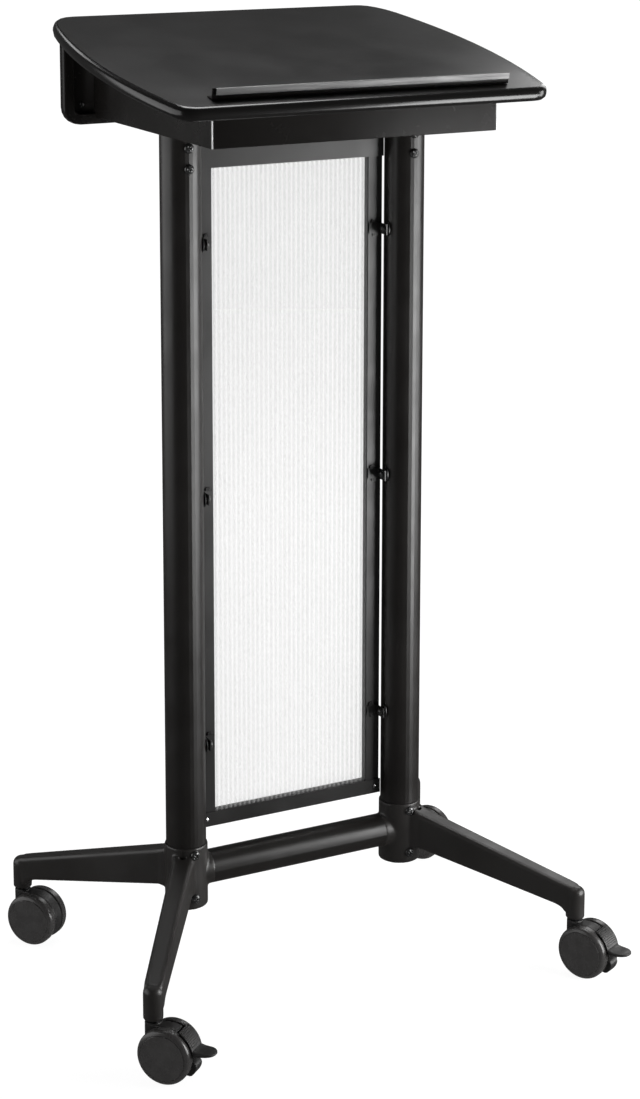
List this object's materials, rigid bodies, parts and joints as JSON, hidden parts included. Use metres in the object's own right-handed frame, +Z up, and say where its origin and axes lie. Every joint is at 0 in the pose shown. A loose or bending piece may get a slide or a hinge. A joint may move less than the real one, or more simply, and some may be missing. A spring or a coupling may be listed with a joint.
{
  "type": "presentation lectern",
  "caption": "Black presentation lectern with a sloped board, two round posts, a fluted translucent screen and a splayed base on twin-wheel casters, two with brakes",
  "frame": {"origin": "middle of the footprint's bounding box, on the floor", "axes": "+Z up, +Y toward the audience, +X to the speaker's right"},
  "size_m": [0.6446, 0.5032, 1.1828],
  "materials": {
    "black_laminate": "black high-pressure laminate on a board core, satin with a fine pebble texture",
    "grey_stop": "dark anodised extrusion, satin",
    "black_sheet": "satin black powder coat",
    "black_bracket": "satin black powder coat",
    "black_post": "satin black powder coat",
    "black_casting": "satin black powder coat on a casting",
    "black_frame": "satin black powder coat",
    "white_polycarbonate": "translucent white twin-wall sheet, soft gloss",
    "black_clip": "satin black",
    "black_screw": "black oxide, semi-gloss",
    "bright_rivet": "bright aluminium",
    "steel_pin": "blackened steel",
    "black_nylon": "moulded nylon, fine texture",
    "wheel_nylon": "moulded nylon, smooth",
    "lever_nylon": "moulded nylon, fine ribs"
  },
  "bodies": {
    "stand": {"top_board": "black_laminate", "paper_stop": "grey_stop", "desk_tray": "black_sheet", "rear_panel": "black_sheet", "rear_panel_screw_left": "black_screw", "rear_panel_screw_right": "black_screw", "post_bracket_left": "black_bracket", "post_bracket_right": "black_bracket", "post_left": "black_post", "post_top_screw_left_lower": "black_screw", "post_top_screw_left_upper": "black_screw", "hub_screw_left_lower": "black_screw", "hub_screw_left_upper": "black_screw", "base_casting_left": "black_casting", "post_right": "black_post", "post_top_screw_right_lower": "black_screw", "post_top_screw_right_upper": "black_screw", "hub_screw_right_lower": "black_screw", "hub_screw_right_upper": "black_screw", "base_casting_right": "black_casting", "crossbar": "black_post", "screen_rail_left": "black_frame", "screen_rail_right": "black_frame", "screen_bar_bottom": "black_frame", "screen_rivet_bottom_left": "bright_rivet", "screen_rivet_bottom_right": "bright_rivet", "screen_bar_top": "black_frame", "screen_rivet_top_left": "bright_rivet", "screen_rivet_top_right": "bright_rivet", "screen_panel": "white_polycarbonate", "screen_clip_left_lower": "black_clip", "screen_clip_left_middle": "black_clip", "screen_clip_left_upper": "black_clip", "screen_clip_right_lower": "black_clip", "screen_clip_right_middle": "black_clip", "screen_clip_right_upper": "black_clip", "caster_audience_left_stem": "steel_pin", "caster_speaker_left_stem": "steel_pin", "caster_speaker_right_stem": "steel_pin", "caster_audience_right_stem": "steel_pin"},
    "caster_audience_left_swivel": {"caster_audience_left_hood": "black_nylon", "caster_audience_left_axle": "steel_pin"},
    "caster_audience_left_wheel_outer": {"caster_audience_left_wheel_outer": "wheel_nylon"},
    "caster_audience_left_wheel_inner": {"caster_audience_left_wheel_inner": "wheel_nylon"},
    "caster_speaker_left_swivel": {"caster_speaker_left_hood": "black_nylon", "caster_speaker_left_axle": "steel_pin"},
    "caster_speaker_left_wheel_outer": {"caster_speaker_left_wheel_outer": "wheel_nylon"},
    "caster_speaker_left_wheel_inner": {"caster_speaker_left_wheel_inner": "wheel_nylon"},
    "caster_speaker_left_brake_lever": {"caster_speaker_left_brake_lever": "lever_nylon"},
    "caster_speaker_right_swivel": {"caster_speaker_right_hood": "black_nylon", "caster_speaker_right_axle": "steel_pin"},
    "caster_speaker_right_wheel_outer": {"caster_speaker_right_wheel_outer": "wheel_nylon"},
    "caster_speaker_right_wheel_inner": {"caster_speaker_right_wheel_inner": "wheel_nylon"},
    "caster_speaker_right_brake_lever": {"caster_speaker_right_brake_lever": "lever_nylon"},
    "caster_audience_right_swivel": {"caster_audience_right_hood": "black_nylon", "caster_audience_right_axle": "steel_pin"},
    "caster_audience_right_wheel_outer": {"caster_audience_right_wheel_outer": "wheel_nylon"},
    "caster_audience_right_wheel_inner": {"caster_audience_right_wheel_inner": "wheel_nylon"}
  },
  "joints": [
    {"name": "caster_audience_left_turn", "type": "hinge", "parent": "stand", "child": "caster_audience_left_swivel", "pos_m": [-0.29977, 0.23082, 0.06], "axis": [0, 0, 1], "continuous": true},
    {"name": "caster_audience_left_wheel_outer_spin", "type": "hinge", "parent": "caster_audience_left_swivel", "child": "caster_audience_left_wheel_outer", "pos_m": [-0.28743, 0.21445, 0.0332], "axis": [0.7986, 0.6018, 0], "continuous": true},
    {"name": "caster_audience_left_wheel_inner_spin", "type": "hinge", "parent": "caster_audience_left_swivel", "child": "caster_audience_left_wheel_inner", "pos_m": [-0.28743, 0.21445, 0.0332], "axis": [0.7986, 0.6018, 0], "continuous": true},
    {"name": "caster_speaker_left_turn", "type": "hinge", "parent": "stand", "child": "caster_speaker_left_swivel", "pos_m": [-0.29977, -0.17798, 0.06], "axis": [0, 0, 1], "continuous": true},
    {"name": "caster_speaker_left_wheel_outer_spin", "type": "hinge", "parent": "caster_speaker_left_swivel", "child": "caster_speaker_left_wheel_outer", "pos_m": [-0.28659, -0.19368, 0.0332], "axis": [0.766, 0.6428, 0], "continuous": true},
    {"name": "caster_speaker_left_wheel_inner_spin", "type": "hinge", "parent": "caster_speaker_left_swivel", "child": "caster_speaker_left_wheel_inner", "pos_m": [-0.28659, -0.19368, 0.0332], "axis": [0.766, 0.6428, 0], "continuous": true},
    {"name": "caster_speaker_left_brake_lever_tilt", "type": "hinge", "parent": "caster_speaker_left_swivel", "child": "caster_speaker_left_brake_lever", "pos_m": [-0.27739, -0.20464, 0.0561], "axis": [0.766, 0.6428, 0], "range_deg": [-3, 0]},
    {"name": "caster_speaker_right_turn", "type": "hinge", "parent": "stand", "child": "caster_speaker_right_swivel", "pos_m": [0.27823, -0.17798, 0.06], "axis": [0, 0, 1], "continuous": true},
    {"name": "caster_speaker_right_wheel_outer_spin", "type": "hinge", "parent": "caster_speaker_right_swivel", "child": "caster_speaker_right_wheel_outer", "pos_m": [0.28722, -0.1964, 0.0332], "axis": [0.8988, 0.4384, 0], "continuous": true},
    {"name": "caster_speaker_right_wheel_inner_spin", "type": "hinge", "parent": "caster_speaker_right_swivel", "child": "caster_speaker_right_wheel_inner", "pos_m": [0.28722, -0.1964, 0.0332], "axis": [0.8988, 0.4384, 0], "continuous": true},
    {"name": "caster_speaker_right_brake_lever_tilt", "type": "hinge", "parent": "caster_speaker_right_swivel", "child": "caster_speaker_right_brake_lever", "pos_m": [0.29349, -0.20927, 0.0561], "axis": [0.8988, 0.4384, 0], "range_deg": [-3, 0]},
    {"name": "caster_audience_right_turn", "type": "hinge", "parent": "stand", "child": "caster_audience_right_swivel", "pos_m": [0.27823, 0.23082, 0.06], "axis": [0, 0, 1], "continuous": true},
    {"name": "caster_audience_right_wheel_outer_spin", "type": "hinge", "parent": "caster_audience_right_swivel", "child": "caster_audience_right_wheel_outer", "pos_m": [0.28879, 0.21325, 0.0332], "axis": [0.8572, 0.515, 0], "continuous": true},
    {"name": "caster_audience_right_wheel_inner_spin", "type": "hinge", "parent": "caster_audience_right_swivel", "child": "caster_audience_right_wheel_inner", "pos_m": [0.28879, 0.21325, 0.0332], "axis": [0.8572, 0.515, 0], "continuous": true}
  ]
}
